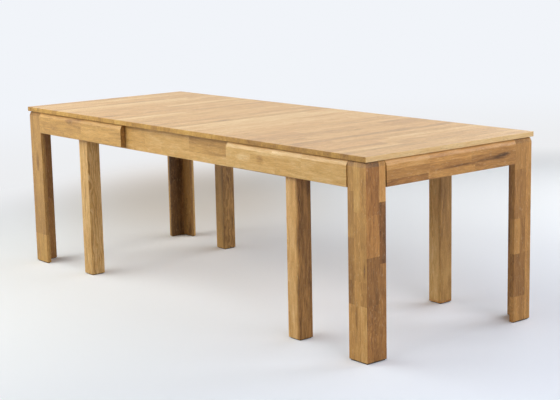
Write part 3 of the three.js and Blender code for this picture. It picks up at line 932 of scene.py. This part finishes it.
def frameSpots(layout):
    # Up through each rail into the guides, and a pair of screws with a bolt between them in each brace
    screws, bolts = [], []
    for railName in ("left", "middle", "right"):
        rail = railName + "_cross_rail"
        for sideName in sides:
            y = middleOf(sideName + "_runner_guide").y
            screws.append(((middleOf(rail).x, y, lowCorner(rail).z), Vector((0, 0, -1))))
    for endName, end in ends.items():
        for sideName, side in sides.items():
            inward = Vector((-end, -side, 0)).normalized()
            along = Vector((side, -end, 0)).normalized() * layout["braceScrewGap"]
            face = faceMiddle(sideName + "_" + endName + "_corner_brace", inward)
            bolts.append((face, inward))
            screws += [(face + along, inward), (face - along, inward)]
    return screws, bolts


zinc = zincMaterial(zincLook)
screwShape = screwTree(screwSizes, fixings["turnSeed"])
boltShape = boltTree(boltSizes, fixings["turnSeed"], fixings["mergeReach"])
for endName, end in ends.items():
    spots = endSpots(endName, end, fixings)
    fit(endName + "_end_screws", endName + "_end", screwShape, screwSizes, spots, zinc)
frameScrews, braceBolts = frameSpots(fixings)
fit("frame_screws", "inner_frame", screwShape, screwSizes, frameScrews, zinc)
fit("brace_bolts", "inner_frame", boltShape, boltSizes, braceBolts, zinc)
print("fixings fitted")


# Stage and light: a pale floor that runs out into white, and soft lamps, given in metres and watts

stageLook = {
    "size": 120.0,
    "floor": ("f2f5fb", "ecf2fe"),   # to the left and to the right; the bluer colour on the right is painted light, for the cooler light on that side
    "floorChange": (-0.6, 1.8),   # where along the table the first passes into the second
    "floorRoughness": 0.5,
    "bounce": "c4c4c4",   # what the floor gives back to the table
    "warm": "ece1d5",   # painted shade with warm light off the wood, behind the left end, which stays there when that end slides in
    "warmMiddle": (-2.0, 1.1, 0.0),
    "warmEdge": (0.2, 1.15),
    "warmWay": (-0.81, 0.59),   # the tint reaches further along this line
    "warmShrink": 0.6,   # as distances along it count for this share
    "middle": (0.8, 1.2, 0.0),
    "fade": (2.7, 4.0),   # metres from that middle, where the lamps give way to an even white
    "horizon": (3.6, 8.0),   # and where that white passes from near to far
    "near": "edeef0",
    "far": "f1f4f9",
    "sky": "f6f8fb",
    "skyStrength": 1.04,
}


def warmTint(tree, spot, look):
    wayX, wayY = look["warmWay"]
    off = vectorCalc(tree, "SUBTRACT", spot, look["warmMiddle"])
    ahead = vectorCalc(tree, "DOT_PRODUCT", off, (wayX, wayY, 0.0))
    ahead = calc(tree, "MULTIPLY", ahead, look["warmShrink"])
    aside = vectorCalc(tree, "DOT_PRODUCT", off, (wayY, -wayX, 0.0))
    distance = vectorCalc(tree, "LENGTH", combine(tree, ahead, aside, 0.0))
    return blend(tree, remap(tree, distance, *look["warmEdge"]), paint(look["warm"]), (1, 1, 1, 1))


def seenDirectly(tree, path):
    return calc(tree, "MAXIMUM", path["Is Camera Ray"], path["Is Glossy Ray"])


def mixed(tree, factor, first, second):
    mix = add(tree, "ShaderNodeMixShader", {"Fac": factor})
    tree.links.new(first.outputs[0], mix.inputs[1])
    tree.links.new(second.outputs[0], mix.inputs[2])
    return mix


def floorMaterial(look):
    material, tree = emptyMaterial("studio_floor")
    spot = add(tree, "ShaderNodeTexCoord").outputs["Object"]
    away = vectorCalc(tree, "LENGTH", vectorCalc(tree, "SUBTRACT", spot, look["middle"]))
    path = add(tree, "ShaderNodeLightPath").outputs
    tint = warmTint(tree, spot, look)
    toRight = remap(tree, separate(tree, spot)[0], *look["floorChange"])
    plain = blend(tree, toRight, *[paint(code) for code in look["floor"]])
    pale = blend(tree, path["Is Camera Ray"], paint(look["bounce"]), tinted(tree, plain, tint))
    inputs = {"Base Color": pale, "Roughness": look["floorRoughness"], "Specular IOR Level": 0.0}
    ground = add(tree, "ShaderNodeBsdfPrincipled", inputs)
    haze = blend(tree, remap(tree, away, *look["horizon"]), paint(look["near"]), paint(look["far"]))
    glow = add(tree, "ShaderNodeEmission", {"Color": tinted(tree, haze, tint), "Strength": 1.0})
    farOff = calc(tree, "MULTIPLY", remap(tree, away, *look["fade"]), seenDirectly(tree, path))
    above = mixed(tree, farOff, ground, glow)
    # Clear from below, so that the underside can be looked at
    fromBelow = add(tree, "ShaderNodeNewGeometry").outputs["Backfacing"]
    whole = mixed(tree, fromBelow, above, add(tree, "ShaderNodeBsdfTransparent"))
    add(tree, "ShaderNodeOutputMaterial", {"Surface": whole.outputs[0]})
    return material


def addFloor(look):
    half = look["size"] / 2
    corners = [(-half, -half, 0), (half, -half, 0), (half, half, 0), (-half, half, 0)]
    mesh = bpy.data.meshes.new("floor")
    mesh.from_pydata(corners, [], [(0, 1, 2, 3)])
    mesh.materials.append(floorMaterial(look))
    floor = bpy.data.objects.new("floor", mesh)
    bpy.context.scene.collection.objects.link(floor)


def addWorld(look):
    world = bpy.data.worlds.new("studio")
    world.use_nodes = True
    tree = world.node_tree
    background = tree.nodes["Background"]
    seen = seenDirectly(tree, add(tree, "ShaderNodeLightPath").outputs)
    background.inputs["Color"].default_value = paint(look["sky"])
    feed(tree, background.inputs["Strength"], calc(tree, "MULTIPLY", seen, look["skyStrength"]))
    bpy.context.scene.world = world


lampAim = (0, 0, 0.55)   # all lamps point at the middle of the table, under its top
# Powers are rounded from a least-squares fit, after which overhead, both behind and right_near were changed
lamps = {
    "overhead": {"place": (-0.3, 0.0, 3.2), "size": (5, 4), "power": 18, "colour": (1.0, 0.99, 0.96)},
    "front_high": {"place": (0.0, -3.0, 2.4), "size": (4, 1.2), "power": 32, "colour": (1.0, 1.0, 0.95)},
    "front_far": {"place": (0.5, -4.5, 3.0), "size": (2, 2), "power": 24, "colour": (1.0, 1.0, 0.95)},
    "front_left": {"place": (-1.4, -3.0, 2.2), "size": (2, 2), "power": 36, "colour": (1.0, 1.0, 0.92)},
    "left_far": {"place": (-3.0, -3.6, 2.8), "size": (0.6, 2.0), "power": 12, "colour": (1.0, 1.0, 0.92)},
    "left": {"place": (-2.6, -1.4, 3.0), "size": (2, 2), "power": 47, "colour": (1.0, 1.0, 0.92)},
    "behind": {"place": (0.0, 4.0, 2.5), "size": (3, 2), "power": 76, "colour": (1.0, 1.0, 0.98)},
    "behind_right": {"place": (2.0, 3.2, 2.4), "size": (2, 1.5), "power": 40, "colour": (0.99, 1.0, 1.03)},
    "right": {"place": (3.4, 0.8, 2.4), "size": (1.5, 1.5), "power": 18, "colour": (1.0, 1.0, 1.0)},
    "right_near": {"place": (4.5, -0.8, 2.0), "size": (2.6, 2), "power": 65, "colour": (1.0, 0.99, 1.03)},
}


def addLamp(name, lamp):
    data = bpy.data.lights.new(name, "AREA")
    data.shape = "RECTANGLE"
    data.size, data.size_y = lamp["size"]
    data.energy = lamp["power"]
    data.color = lamp["colour"]
    light = bpy.data.objects.new(name, data)
    light.location = lamp["place"]
    light.rotation_euler = (Vector(lampAim) - Vector(lamp["place"])).to_track_quat("-Z", "Y").to_euler()
    light.visible_camera = False
    bpy.context.scene.collection.objects.link(light)


addFloor(stageLook)
addWorld(stageLook)
for name, lamp in lamps.items():
    addLamp(name, lamp)
bpy.context.scene.view_settings.view_transform = "Standard"
print("stage and lamps placed")
